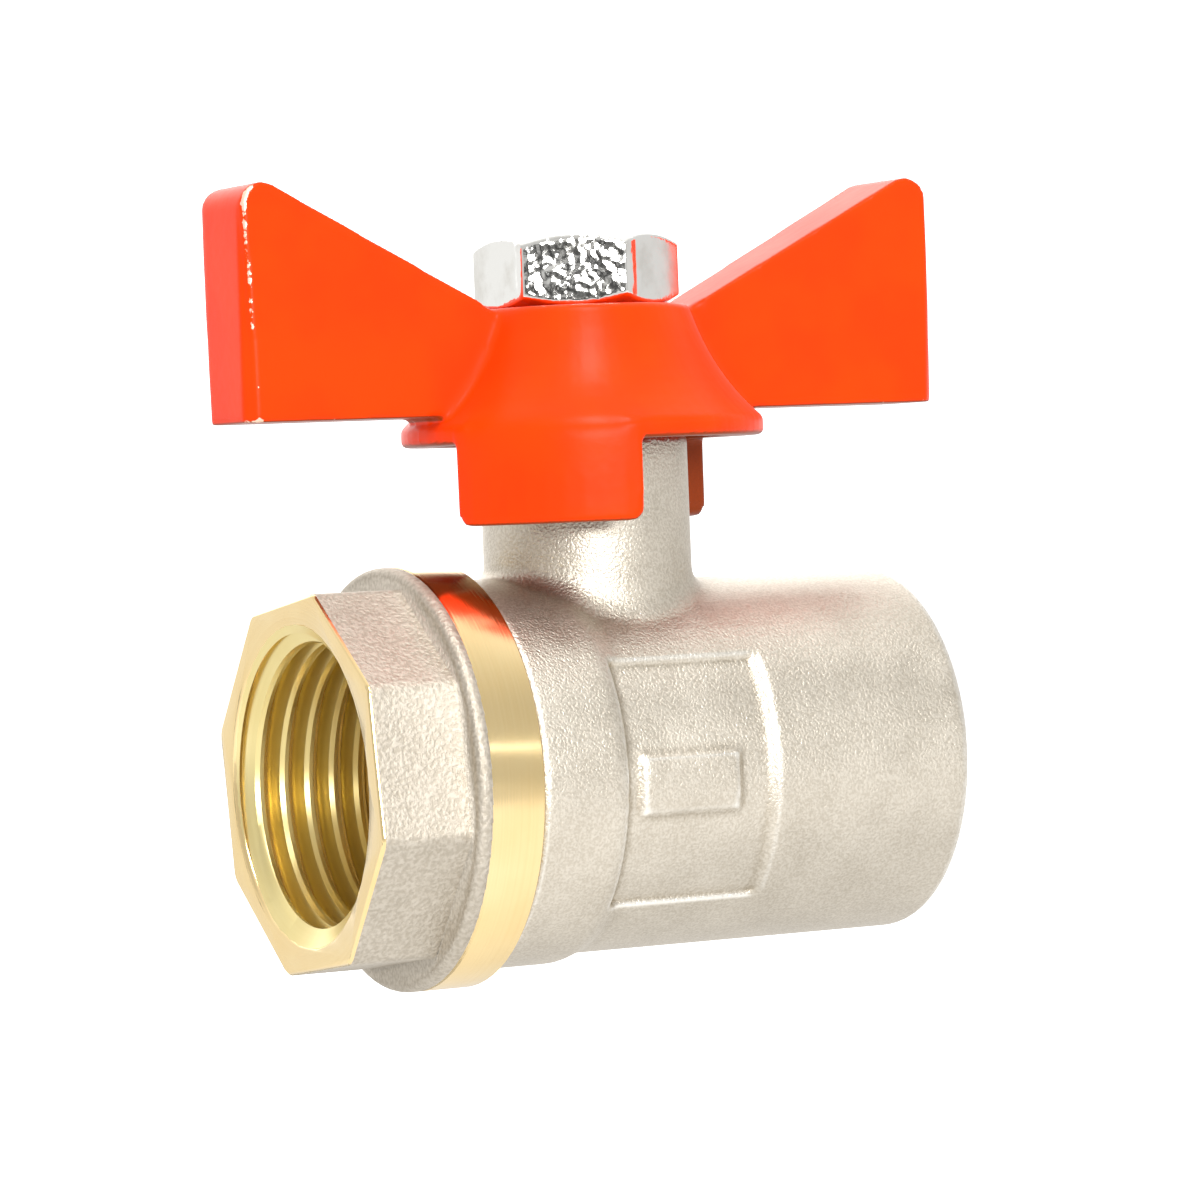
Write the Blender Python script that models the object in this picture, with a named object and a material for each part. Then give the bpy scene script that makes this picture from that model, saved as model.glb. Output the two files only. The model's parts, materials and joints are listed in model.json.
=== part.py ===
"""Half-inch ball valve with female ends and a two-wing handle, shown open.

The pipe axis is X, with the screwed-in end piece at -X. The stem axis is Z and the origin is where the two
axes cross. Turned pieces are revolved profiles, the forged body is a turned barrel with a lofted neck, and
the handle is a flared bell with two wings. All lengths below are in millimetres.
"""

from math import asin, cos, degrees, hypot, pi, radians, sin, sqrt

import bmesh
import bpy
from mathutils import Vector

MM = 0.001
GAP = 0.3  # left between pieces that touch on the real valve
OVERSHOOT = 1.0  # how far a cutting form runs past the surface it opens
BITE = 0.5  # how far an added form is sunk into the piece it joins
SHARP_ANGLE = radians(32)
TINY = 1e-4

# Pipe thread sockets
SOCKET_R = 10.45
SOCKET_MOUTH_R = 10.75
MOUTH_CHAMFER = 0.4
MOUTH_SLOPE = (SOCKET_MOUTH_R - SOCKET_R) / MOUTH_CHAMFER
PASSAGE_R = 7.3

# Body barrel
BODY_LEFT_X = -10.65
BODY_RIGHT_X = 22.0
BARREL_R = 12.4
BULGE_R = 12.95
BULGE_END_X = -5.2
BARREL_START_X = -3.0
LEFT_EDGE_BREAK = 0.3
OUTLET_EDGE_R = 0.5
OUTLET_SOCKET_X = 11.0
CAVITY_R = 10.75
ADAPTER_THREAD_R = 11.2
SPIGOT_END_X = -5.9

# Recessed side panels
PANEL_LEFT_X = -4.2
PANEL_RIGHT_X = 6.6
PANEL_STEP = 0.7
PANEL_R = 12.0
PANEL_CLEAR = 0.05
PANEL_TOP_Z = 7.1
PANEL_BOTTOM_Z = -8.4

# Blank raised pad in the front panel
PAD_LEFT_X = -3.0
PAD_RIGHT_X = 4.4
PAD_CENTRE = -3.7
PAD_SPAN = 17.0
PAD_HEIGHT = 0.32

# Neck and its stop lugs
NECK_R = 7.0
NECK_TOP_Z = 22.0
NECK_FILLET_SIDE = 3.0
NECK_FILLET_END = 0.8
NECK_COLUMNS = 60
NECK_FILLET_STEPS = 5
NECK_SINK = 0.06
NECK_BURIED_SHARE = 0.9
LUG_INNER_R = 5.7
LUG_TOP_Z = 24.0
LUG_CENTRE = 45
LUG_SPAN = 30
LUG_INSET = 0.02

# Stem and packing
STEM_R = 4.0
STEM_BORE_R = STEM_R + GAP
STEM_BORE_BOTTOM_Z = 8.0
SHOULDER_R = 5.0
SHOULDER_POCKET_R = SHOULDER_R + GAP
SHOULDER_BOTTOM_Z = 10.5
SHOULDER_TOP_Z = 12.0
POCKET_TOP_Z = 13.3
STEM_GROOVE_Z = (14.3, 15.7)
STEM_GROOVE_DEPTH = 0.9
STEM_RING_R = 3.65
STEM_RING_THICK = 0.9
PACKING_BORE_R = 5.4
PACKING_R = 5.1
PACKING_FLOOR_Z = 16.9
PACKING_RING_HEIGHT = 1.3
GLAND_TOP_Z = 22.2
GLAND_SLOT_HALF = 0.6
GLAND_SLOT_DEPTH = 0.8
FLAT_START_Z = 27.0
FLAT_HALF = 3.0
STEM_THREAD_R = 3.75
STEM_THREAD_Z = 31.0
STEM_TOP_Z = 35.1
STEM_TOP_CHAMFER = 0.4
TANG_HALF_X = 1.7
TANG_HALF_Y = 4.4
TANG_BOTTOM_Z = 8.2

# Ball and seats
BALL_R = 10.2
BALL_BORE_R = 7.0
BALL_LIP = 0.35
BALL_LIP_ANGLE = 1.5
SEAT_R = 9.8
SEAT_FACE_X = 5.2
SEAT_BACK_X = 8.7

# End adapter
ADAPTER_FACE_X = -21.93
OCTAGON_SIDES = 8
OCTAGON_FLATS = 24.12
OCTAGON_TURN = 8.07
OCTAGON_EDGE_BREAK = 0.45
OCTAGON_FACE_BREAK = 0.2
COLLAR_LEFT_X = -15.7
COLLAR_RIGHT_X = -14.7
COLLAR_R = 14.0
COLLAR_EDGE_R = 0.5
COLLAR_LINE = 0.12
BAND_RIGHT_X = -10.95
BAND_EDGE_BREAK = 0.2
ADAPTER_SOCKET_X = -11.6
ADAPTER_GROOVE_X = -9.4
ADAPTER_GROOVE_DEPTH = 1.0
SPIGOT_EDGE_BREAK = 0.3
ADAPTER_RING_X = -10.05
ADAPTER_RING_R = 10.85
ADAPTER_RING_THICK = 1.0

# Handle
HUB_TOP_Z = 30.85
HUB_SIDE_R = 7.6
HUB_EDGE_R = 0.55
FLARE_PULL_R = 9.0
FLARE_PULL_Z = 25.9
FLARE_STEPS = 8
RIM_R = 12.2
RIM_EDGE_BREAK = 0.25
RIM_TOP_Z = 23.1
RIM_BOTTOM_Z = 21.85
HUB_CEILING_Z = 27.3
HUB_CEILING_R = 7.3
HUB_CEILING_BREAK = 0.3
HUB_MOUTH_R = 9.6
HUB_MOUTH_Z = 22.6
WING_ROOT_X = 4.0
WING_TIP_X = 25.92
WING_TIP_LEAN = 0.11
WING_BOTTOM_Z = 23.75
WING_TOP_Z = 39.22
WING_SLOPE = 0.52
WING_CORNER_R = 1.6
WING_TIP_HALF = 3.4
WING_ROOT_HALF = 2.4
WING_TIP_CHAMFER = 0.75
TAB_OUTER_R = 12.26
TAB_INNER_R = 9.8
TAB_DRAFT = 0.12
TAB_TOP_Z = 22.8
TAB_BOTTOM_Z = 16.5
TAB_CENTRE = 50
TAB_SPAN = 62
TAB_CORNER_R = 0.9
RIB_INNER_R = 5.0
RIB_OUTER_R = 10.2
RIB_TOP_R = 8.0
RIB_BOTTOM_Z = 22.5
RIB_SPAN = 54

# Handle nut
NUT_FLATS = 12.0
NUT_BOTTOM_Z = 31.15
NUT_TOP_Z = 35.5
NUT_TURN = 1.3
NUT_FACE_R = 5.85
NUT_CORNER_R = 7.6
NUT_CHAMFER_SLOPE = 0.55
NUT_HOLE_CHAMFER = 0.4
NUT_CLEAR = 0.1


def clear_scene():
    for item in list(bpy.data.objects):
        bpy.data.objects.remove(item, do_unlink=True)


def finish_material(name, colour, roughness, metallic):
    material = bpy.data.materials.new(name)
    material.use_nodes = True
    shader = material.node_tree.nodes["Principled BSDF"]
    shader.inputs["Base Color"].default_value = (*colour, 1.0)
    shader.inputs["Roughness"].default_value = roughness
    shader.inputs["Metallic"].default_value = metallic
    material.diffuse_color = (*colour, 1.0)
    return material


def piece(name, bm, material=None):
    """Turns a millimetre bmesh into an object in metres, smooth except at its real edges."""
    bmesh.ops.remove_doubles(bm, verts=bm.verts[:], dist=TINY)
    bmesh.ops.recalc_face_normals(bm, faces=bm.faces[:])
    bmesh.ops.scale(bm, vec=(MM, MM, MM), verts=bm.verts[:])
    mesh = bpy.data.meshes.new(name)
    bm.to_mesh(mesh)
    bm.free()
    mesh.shade_smooth()
    mesh.set_sharp_from_angle(angle=SHARP_ANGLE)
    item = bpy.data.objects.new(name, mesh)
    bpy.context.collection.objects.link(item)
    if material:
        mesh.materials.append(material)
    return item


def form(name, bm):
    """A helper shape that only shapes another piece."""
    item = piece(name, bm)
    item.hide_render = True
    item.display_type = "WIRE"
    return item


def join(target, tool, operation):
    modifier = target.modifiers.new(tool.name, "BOOLEAN")
    modifier.operation = operation
    modifier.solver = "EXACT"
    modifier.object = tool


def turned(profile, axis, steps):
    """Revolves (along, radius) points about X or Z. A profile that starts on the axis also ends there."""
    bm = bmesh.new()
    verts = []
    for along, radius in profile:
        place = (along, 0, radius) if axis == "X" else (radius, 0, along)
        verts.append(bm.verts.new(place))
    edges = [bm.edges.new(pair) for pair in zip(verts, verts[1:])]
    if profile[0][1] > 0:
        edges.append(bm.edges.new((verts[-1], verts[0])))
    direction = (1, 0, 0) if axis == "X" else (0, 0, 1)
    bmesh.ops.spin(bm, geom=verts + edges, cent=(0, 0, 0), axis=direction, angle=2 * pi, steps=steps)
    return bm


def sector(profile, axis, centre, span, steps):
    """Sweeps a closed (along, radius) outline through part of a turn, centred on an angle in degrees.

    About X the angle starts at -Y and rises towards +Z. About Z it starts at +X.
    """
    bm = bmesh.new()
    start = radians(centre - span / 2)
    verts = []
    for along, radius in profile:
        if axis == "X":
            place = (along, -radius * cos(start), radius * sin(start))
        else:
            place = (radius * cos(start), radius * sin(start), along)
        verts.append(bm.verts.new(place))
    outline = bm.faces.new(verts)
    direction = (-1, 0, 0) if axis == "X" else (0, 0, 1)
    geom = verts + list(outline.edges) + [outline]
    bmesh.ops.spin(bm, geom=geom, cent=(0, 0, 0), axis=direction, angle=radians(span), steps=steps)
    return bm


def round_edges(bm, edges, size, steps):
    """Rounds edges, or chamfers them where steps is 1."""
    bmesh.ops.bevel(bm, geom=edges, offset=size, segments=steps, affect="EDGES", profile=0.5)


def block(low, high):
    bm = bmesh.new()
    bmesh.ops.create_cube(bm, size=1)
    low, high = Vector(low), Vector(high)
    bmesh.ops.scale(bm, vec=high - low, verts=bm.verts[:])
    bmesh.ops.translate(bm, vec=(low + high) / 2, verts=bm.verts[:])
    return bm


def prism(outline, low, high, axis="Z"):
    """Extrudes a flat outline along Z, or along X where the outline is given as (y, z)."""
    bm = bmesh.new()
    if axis == "Z":
        verts = [bm.verts.new((a, b, low)) for a, b in outline]
        travel = (0, 0, high - low)
    else:
        verts = [bm.verts.new((low, a, b)) for a, b in outline]
        travel = (high - low, 0, 0)
    face = bm.faces.new(verts)
    grown = bmesh.ops.extrude_face_region(bm, geom=[face])["geom"]
    bmesh.ops.translate(bm, vec=travel, verts=[v for v in grown if isinstance(v, bmesh.types.BMVert)])
    return bm


def polygon(flats, sides, first_vertex):
    """Corners of a regular polygon, from its width across flats and its first corner's angle."""
    radius = flats / 2 / cos(pi / sides)
    angles = [radians(first_vertex) + 2 * pi * k / sides for k in range(sides)]
    return [(radius * cos(a), radius * sin(a)) for a in angles]


def arc(centre, radius, start, end, count):
    """Points on a circle in the profile plane, angles in degrees."""
    angles = [radians(start + (end - start) * k / count) for k in range(count + 1)]
    return [(centre[0] + radius * cos(a), centre[1] + radius * sin(a)) for a in angles]


def ring_profile(centre_along, centre_radius, section_radius, count=8):
    """The round section of an O-ring."""
    return arc((centre_along, centre_radius), section_radius, 0, 360 - 360 / count, count - 1)


def barrel_radius(x):
    """The forged barrel swells round the ball and eases down to the outlet's radius."""
    share = min(max((x - BULGE_END_X) / (BARREL_START_X - BULGE_END_X), 0), 1)
    return BULGE_R + (BARREL_R - BULGE_R) * (1 - cos(pi * share)) / 2


def neck_loft():
    """A round neck whose foot flares into the barrel, wide at the sides and tight along the pipe."""
    bm = bmesh.new()
    rows = []
    for k in range(NECK_COLUMNS):
        angle = 2 * pi * k / NECK_COLUMNS
        fillet = NECK_FILLET_END + (NECK_FILLET_SIDE - NECK_FILLET_END) * sin(angle) ** 2
        reach = NECK_R + fillet
        x, y = reach * cos(angle), reach * sin(angle)
        surface = barrel_radius(x) - NECK_SINK
        z = sqrt((surface + fillet) ** 2 - y**2)
        centre = Vector((x, y, z))
        to_neck = Vector((-cos(angle), -sin(angle), 0))
        to_barrel = Vector((0, -y, -z)).normalized()
        column = [(NECK_R * cos(angle), NECK_R * sin(angle), NECK_TOP_Z)]
        for step in range(NECK_FILLET_STEPS + 1):
            column.append(centre + fillet * to_neck.slerp(to_barrel, step / NECK_FILLET_STEPS))
        column.append(column[-1] * NECK_BURIED_SHARE)
        rows.append([bm.verts.new(point) for point in column])
    for k, row in enumerate(rows):
        after = rows[(k + 1) % NECK_COLUMNS]
        for a, b, c, d in zip(row, after, after[1:], row[1:]):
            bm.faces.new((a, b, c, d))
    bm.faces.new([row[0] for row in rows])
    bm.faces.new([row[-1] for row in reversed(rows)])
    bmesh.ops.triangulate(bm, faces=[f for f in bm.faces if len(f.verts) > 4])
    return bm


def make_body(material):
    ease = [BULGE_END_X + (BARREL_START_X - BULGE_END_X) * k / 6 for k in range(7)]
    outside = [
        (BODY_LEFT_X, 0),
        (BODY_LEFT_X, BULGE_R - LEFT_EDGE_BREAK),
        (BODY_LEFT_X + LEFT_EDGE_BREAK, BULGE_R),
    ]
    outside += [(x, barrel_radius(x)) for x in ease]
    outside += arc((BODY_RIGHT_X - OUTLET_EDGE_R, BARREL_R - OUTLET_EDGE_R), OUTLET_EDGE_R, 90, 0, 3)
    outside.append((BODY_RIGHT_X, 0))
    body = piece("body", turned(outside, "X", 76), material)
    join(body, form("neck_form", neck_loft()), "UNION")

    seat_stop_x = SEAT_BACK_X + GAP
    seat_mouth_x = SEAT_FACE_X + GAP
    bore = [
        (BODY_LEFT_X - OVERSHOOT, 0),
        (BODY_LEFT_X - OVERSHOOT, ADAPTER_THREAD_R + GAP),
        (SPIGOT_END_X + GAP, ADAPTER_THREAD_R + GAP),
        (SPIGOT_END_X + GAP, CAVITY_R),
        (seat_mouth_x, CAVITY_R),
        (seat_mouth_x, SEAT_R + GAP),
        (seat_stop_x, SEAT_R + GAP),
        (seat_stop_x, PASSAGE_R),
        (OUTLET_SOCKET_X, PASSAGE_R),
        (OUTLET_SOCKET_X, SOCKET_R),
        (BODY_RIGHT_X - MOUTH_CHAMFER, SOCKET_R),
        (BODY_RIGHT_X + OVERSHOOT, SOCKET_MOUTH_R + OVERSHOOT * MOUTH_SLOPE),
        (BODY_RIGHT_X + OVERSHOOT, 0),
    ]
    join(body, form("flow_bore_form", turned(bore, "X", 44)), "DIFFERENCE")

    stem_bore = [
        (STEM_BORE_BOTTOM_Z, 0),
        (STEM_BORE_BOTTOM_Z, SHOULDER_POCKET_R),
        (POCKET_TOP_Z, SHOULDER_POCKET_R),
        (POCKET_TOP_Z, STEM_BORE_R),
        (PACKING_FLOOR_Z, STEM_BORE_R),
        (PACKING_FLOOR_Z, PACKING_BORE_R),
        (NECK_TOP_Z + OVERSHOOT, PACKING_BORE_R),
        (NECK_TOP_Z + OVERSHOOT, 0),
    ]
    join(body, form("stem_bore_form", turned(stem_bore, "Z", 32)), "DIFFERENCE")

    top_angle = degrees(asin(PANEL_TOP_Z / PANEL_R))
    bottom_angle = degrees(asin(PANEL_BOTTOM_Z / PANEL_R))
    middle, sweep = (top_angle + bottom_angle) / 2, top_angle - bottom_angle
    window = [
        (PANEL_LEFT_X, PANEL_R),
        (PANEL_RIGHT_X, PANEL_R),
        (PANEL_RIGHT_X + PANEL_STEP, BARREL_R + PANEL_CLEAR),
        (PANEL_RIGHT_X + PANEL_STEP, BARREL_R + OVERSHOOT),
        (PANEL_LEFT_X, BARREL_R + OVERSHOOT),
    ]
    for side, centre in (("front", middle), ("back", 180 - middle)):
        cutter = form(f"{side}_panel_form", sector(window, "X", centre, sweep, 22))
        join(body, cutter, "DIFFERENCE")

    pad = [
        (PAD_LEFT_X, PANEL_R - BITE),
        (PAD_RIGHT_X, PANEL_R - BITE),
        (PAD_RIGHT_X - PAD_HEIGHT / 2, PANEL_R + PAD_HEIGHT),
        (PAD_LEFT_X + PAD_HEIGHT / 2, PANEL_R + PAD_HEIGHT),
    ]
    join(body, form("pad_form", sector(pad, "X", PAD_CENTRE, PAD_SPAN, 4)), "UNION")

    lug = [
        (NECK_TOP_Z - BITE, LUG_INNER_R),
        (NECK_TOP_Z - BITE, NECK_R - LUG_INSET),
        (LUG_TOP_Z, NECK_R - LUG_INSET),
        (LUG_TOP_Z, LUG_INNER_R),
    ]
    for side, centre in (("back", LUG_CENTRE), ("front", LUG_CENTRE + 180)):
        join(body, form(f"{side}_lug_form", sector(lug, "Z", centre, LUG_SPAN, 5)), "UNION")
    return body


def make_end_adapter(material):
    """An octagon, a collar and a plain band, then the spigot that screws into the body and backs its seat."""
    groove_r = ADAPTER_THREAD_R - ADAPTER_GROOVE_DEPTH
    outside = [(COLLAR_LEFT_X, 0)]
    outside += arc((COLLAR_LEFT_X + COLLAR_EDGE_R, COLLAR_R - COLLAR_EDGE_R), COLLAR_EDGE_R, 180, 90, 3)
    outside += [
        (COLLAR_RIGHT_X - COLLAR_LINE, COLLAR_R),
        (COLLAR_RIGHT_X, COLLAR_R - COLLAR_LINE),
        (COLLAR_RIGHT_X + COLLAR_LINE, COLLAR_R),
        (BAND_RIGHT_X - BAND_EDGE_BREAK, COLLAR_R),
        (BAND_RIGHT_X, COLLAR_R - BAND_EDGE_BREAK),
        (BAND_RIGHT_X, groove_r),
        (ADAPTER_GROOVE_X, groove_r),
        (ADAPTER_GROOVE_X, ADAPTER_THREAD_R),
        (SPIGOT_END_X - SPIGOT_EDGE_BREAK, ADAPTER_THREAD_R),
        (SPIGOT_END_X, ADAPTER_THREAD_R - SPIGOT_EDGE_BREAK),
        (SPIGOT_END_X, 0),
    ]
    adapter = piece("end_adapter", turned(outside, "X", 76), material)

    first_corner = 90 - OCTAGON_TURN - 180 / OCTAGON_SIDES
    outline = polygon(OCTAGON_FLATS, OCTAGON_SIDES, first_corner)
    octagon = prism(outline, ADAPTER_FACE_X, COLLAR_LEFT_X + BITE, "X")
    long_edges = [e for e in octagon.edges if abs(e.verts[0].co.x - e.verts[1].co.x) > 1]
    round_edges(octagon, long_edges, OCTAGON_EDGE_BREAK, 2)
    face_edges = [e for e in octagon.edges if all(abs(v.co.x - ADAPTER_FACE_X) < TINY for v in e.verts)]
    round_edges(octagon, face_edges, OCTAGON_FACE_BREAK, 1)
    join(adapter, form("octagon_form", octagon), "UNION")

    seat_stop_x = -(SEAT_BACK_X + GAP)
    bore = [
        (ADAPTER_FACE_X - OVERSHOOT, 0),
        (ADAPTER_FACE_X - OVERSHOOT, SOCKET_MOUTH_R + OVERSHOOT * MOUTH_SLOPE),
        (ADAPTER_FACE_X + MOUTH_CHAMFER, SOCKET_R),
        (ADAPTER_SOCKET_X, SOCKET_R),
        (ADAPTER_SOCKET_X, PASSAGE_R),
        (seat_stop_x, PASSAGE_R),
        (seat_stop_x, SEAT_R + GAP),
        (SPIGOT_END_X + OVERSHOOT, SEAT_R + GAP),
        (SPIGOT_END_X + OVERSHOOT, 0),
    ]
    join(adapter, form("adapter_bore_form", turned(bore, "X", 44)), "DIFFERENCE")
    return adapter


def make_ball(material):
    half_bore = sqrt(BALL_R**2 - BALL_BORE_R**2)
    edge_angle = degrees(asin(BALL_BORE_R / BALL_R))
    lip_angle = edge_angle + BALL_LIP_ANGLE
    profile = arc((0, 0), BALL_R, 180 - lip_angle, lip_angle, 12)
    profile += [(half_bore - BALL_LIP, BALL_BORE_R), (BALL_LIP - half_bore, BALL_BORE_R)]
    ball = piece("ball", turned(profile, "X", 44), material)
    slot_half = TANG_HALF_X + GAP
    low = (-slot_half, -BALL_R, TANG_BOTTOM_Z - GAP)
    slot = block(low, (slot_half, BALL_R, BALL_R + OVERSHOOT))
    join(ball, form("ball_slot_form", slot), "DIFFERENCE")
    return ball


def make_seat(name, side, material):
    """A PTFE ring with a spherical face that stands just off the ball."""
    face_r = BALL_R + GAP
    lip_r = sqrt(face_r**2 - SEAT_FACE_X**2)
    start, end = degrees(asin(lip_r / face_r)), degrees(asin(PASSAGE_R / face_r))
    face = [(side * x, r) for x, r in arc((0, 0), face_r, start, end, 3)]
    back = [(side * SEAT_BACK_X, PASSAGE_R), (side * SEAT_BACK_X, SEAT_R), (side * SEAT_FACE_X, SEAT_R)]
    return piece(name, turned(face + back, "X", 32), material)


def make_stem(material):
    """Fitted from inside, with a shoulder that can't pass the neck and a tang that drives the ball."""
    groove_bottom, groove_top = STEM_GROOVE_Z
    profile = [
        (SHOULDER_BOTTOM_Z, 0),
        (SHOULDER_BOTTOM_Z, SHOULDER_R),
        (SHOULDER_TOP_Z, SHOULDER_R),
        (SHOULDER_TOP_Z, STEM_R),
        (groove_bottom, STEM_R),
        (groove_bottom, STEM_R - STEM_GROOVE_DEPTH),
        (groove_top, STEM_R - STEM_GROOVE_DEPTH),
        (groove_top, STEM_R),
        (STEM_THREAD_Z, STEM_R),
        (STEM_THREAD_Z, STEM_THREAD_R),
        (STEM_TOP_Z - STEM_TOP_CHAMFER, STEM_THREAD_R),
        (STEM_TOP_Z, STEM_THREAD_R - STEM_TOP_CHAMFER),
        (STEM_TOP_Z, 0),
    ]
    stem = piece("stem", turned(profile, "Z", 32), material)
    low = (-TANG_HALF_X, -TANG_HALF_Y, TANG_BOTTOM_Z)
    high = (TANG_HALF_X, TANG_HALF_Y, SHOULDER_BOTTOM_Z + BITE)
    join(stem, form("tang_form", block(low, high)), "UNION")
    for name, side in (("front", -1), ("back", 1)):
        reach = STEM_R + OVERSHOOT
        near, far = sorted((side * FLAT_HALF, side * reach))
        flat = block((-reach, near, FLAT_START_Z), (reach, far, STEM_TOP_Z + OVERSHOOT))
        join(stem, form(f"{name}_flat_form", flat), "DIFFERENCE")
    return stem


def make_washer(name, bottom, top, outer, material):
    profile = [(bottom, STEM_BORE_R), (top, STEM_BORE_R), (top, outer), (bottom, outer)]
    return piece(name, turned(profile, "Z", 32), material)


def make_gland(material):
    """The ring that screws down on the packing, slotted for its driver."""
    bottom = PACKING_FLOOR_Z + 2 * PACKING_RING_HEIGHT + 3 * GAP
    gland = make_washer("packing_gland", bottom, GLAND_TOP_Z, PACKING_R, material)
    reach = PACKING_R + OVERSHOOT
    low = (-GLAND_SLOT_HALF, -reach, GLAND_TOP_Z - GLAND_SLOT_DEPTH)
    slot = block(low, (GLAND_SLOT_HALF, reach, GLAND_TOP_Z + OVERSHOOT))
    join(gland, form("gland_slot_form", slot), "DIFFERENCE")
    return gland


def flare_points():
    """The bell's side is one sweep from the upright hub out to the rim."""
    top = Vector((HUB_SIDE_R, HUB_TOP_Z - HUB_EDGE_R))
    pull = Vector((FLARE_PULL_R, FLARE_PULL_Z))
    rim = Vector((RIM_R - RIM_EDGE_BREAK / 5, RIM_TOP_Z))
    points = []
    for step in range(FLARE_STEPS + 1):
        t = step / FLARE_STEPS
        r, z = (1 - t) ** 2 * top + 2 * t * (1 - t) * pull + t**2 * rim
        points.append((z, r))
    return points


def make_wing(side):
    """One wing: a drafted plate, thicker at its rounded tip, with chamfered upright tip edges."""
    corner = (WING_TIP_X - WING_TIP_LEAN - WING_CORNER_R, WING_TOP_Z - WING_CORNER_R)
    slope_angle = degrees(asin(WING_SLOPE / hypot(1, WING_SLOPE)))
    crown = arc(corner, WING_CORNER_R, 2, 90 + slope_angle, 7)
    crown_x, crown_z = crown[-1]
    root_z = crown_z - WING_SLOPE * (crown_x - WING_ROOT_X)
    outline = [(WING_ROOT_X, WING_BOTTOM_Z), (WING_TIP_X, WING_BOTTOM_Z), *crown, (WING_ROOT_X, root_z)]
    bm = bmesh.new()
    verts = [bm.verts.new((side * x, -1, z)) for x, z in outline]
    grown = bmesh.ops.extrude_face_region(bm, geom=[bm.faces.new(verts)])["geom"]
    bmesh.ops.translate(bm, vec=(0, 2, 0), verts=[v for v in grown if isinstance(v, bmesh.types.BMVert)])
    for vert in bm.verts:
        share = (abs(vert.co.x) - WING_ROOT_X) / (WING_TIP_X - WING_ROOT_X)
        vert.co.y *= WING_ROOT_HALF + (WING_TIP_HALF - WING_ROOT_HALF) * share
    bmesh.ops.recalc_face_normals(bm, faces=bm.faces[:])

    def upright_tip(edge):
        upper, lower = edge.verts[0].co, edge.verts[1].co
        return min(abs(upper.x), abs(lower.x)) > corner[0] and abs(upper.z - lower.z) > WING_CORNER_R

    tip_edges = [e for e in bm.edges if upright_tip(e)]
    round_edges(bm, tip_edges, WING_TIP_CHAMFER, 1)
    return bm


def make_handle(material):
    """A flared bell and two wings. Ribs inside meet the neck's lugs, and two tabs outside guard the stops."""
    outside = [(HUB_TOP_Z, 0)]
    outside += arc((HUB_TOP_Z - HUB_EDGE_R, HUB_SIDE_R - HUB_EDGE_R), HUB_EDGE_R, 0, 90, 3)[:-1]
    outside += flare_points()
    outside += [(RIM_TOP_Z - RIM_EDGE_BREAK, RIM_R), (RIM_BOTTOM_Z + RIM_EDGE_BREAK, RIM_R)]
    outside += [(RIM_BOTTOM_Z, RIM_R - RIM_EDGE_BREAK), (RIM_BOTTOM_Z, 0)]
    handle = piece("handle", turned(outside, "Z", 68), material)
    for name, side in (("left", -1), ("right", 1)):
        join(handle, form(f"{name}_wing_form", make_wing(side)), "UNION")

    cavity = [
        (RIM_BOTTOM_Z - OVERSHOOT, 0),
        (RIM_BOTTOM_Z - OVERSHOOT, HUB_MOUTH_R),
        (HUB_MOUTH_Z, HUB_MOUTH_R),
        (HUB_CEILING_Z - HUB_CEILING_BREAK, HUB_CEILING_R),
        (HUB_CEILING_Z, HUB_CEILING_R - HUB_CEILING_BREAK),
        (HUB_CEILING_Z, 0),
    ]
    join(handle, form("hub_cavity_form", turned(cavity, "Z", 40)), "DIFFERENCE")

    rib_top_z = HUB_CEILING_Z + BITE
    rib = [
        (RIB_BOTTOM_Z, RIB_INNER_R),
        (RIB_BOTTOM_Z, RIB_OUTER_R),
        (rib_top_z, RIB_TOP_R),
        (rib_top_z, RIB_INNER_R),
    ]
    tab = [
        (TAB_BOTTOM_Z, TAB_INNER_R),
        (TAB_BOTTOM_Z, TAB_OUTER_R - TAB_DRAFT),
        (TAB_TOP_Z, TAB_OUTER_R),
        (TAB_TOP_Z, TAB_INNER_R),
    ]
    for name, turn in (("back", 0), ("front", 180)):
        join(handle, form(f"{name}_stop_rib_form", sector(rib, "Z", turn, RIB_SPAN, 6)), "UNION")
        guard = sector(tab, "Z", TAB_CENTRE + turn, TAB_SPAN, 10)
        bmesh.ops.recalc_face_normals(guard, faces=guard.faces[:])
        bottom = [e for e in guard.edges if all(v.co.z < TAB_BOTTOM_Z + TINY for v in e.verts)]
        corners = [e for e in bottom if any(abs(f.normal.z) < 0.1 for f in e.link_faces)]
        corners = [e for e in corners if abs(hypot(*e.verts[0].co.xy) - hypot(*e.verts[1].co.xy)) > 1]
        round_edges(guard, corners, TAB_CORNER_R, 4)
        join(handle, form(f"{name}_tab_form", guard), "UNION")

    hole_r, half = STEM_R + GAP, FLAT_HALF + GAP
    flat_angle = degrees(asin(half / hole_r))
    right = arc((0, 0), hole_r, -flat_angle, flat_angle, 8)
    left = arc((0, 0), hole_r, 180 - flat_angle, 180 + flat_angle, 8)
    hole = prism(right + left, HUB_CEILING_Z - OVERSHOOT, HUB_TOP_Z + OVERSHOOT)
    join(handle, form("stem_hole_form", hole), "DIFFERENCE")
    return handle


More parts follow.
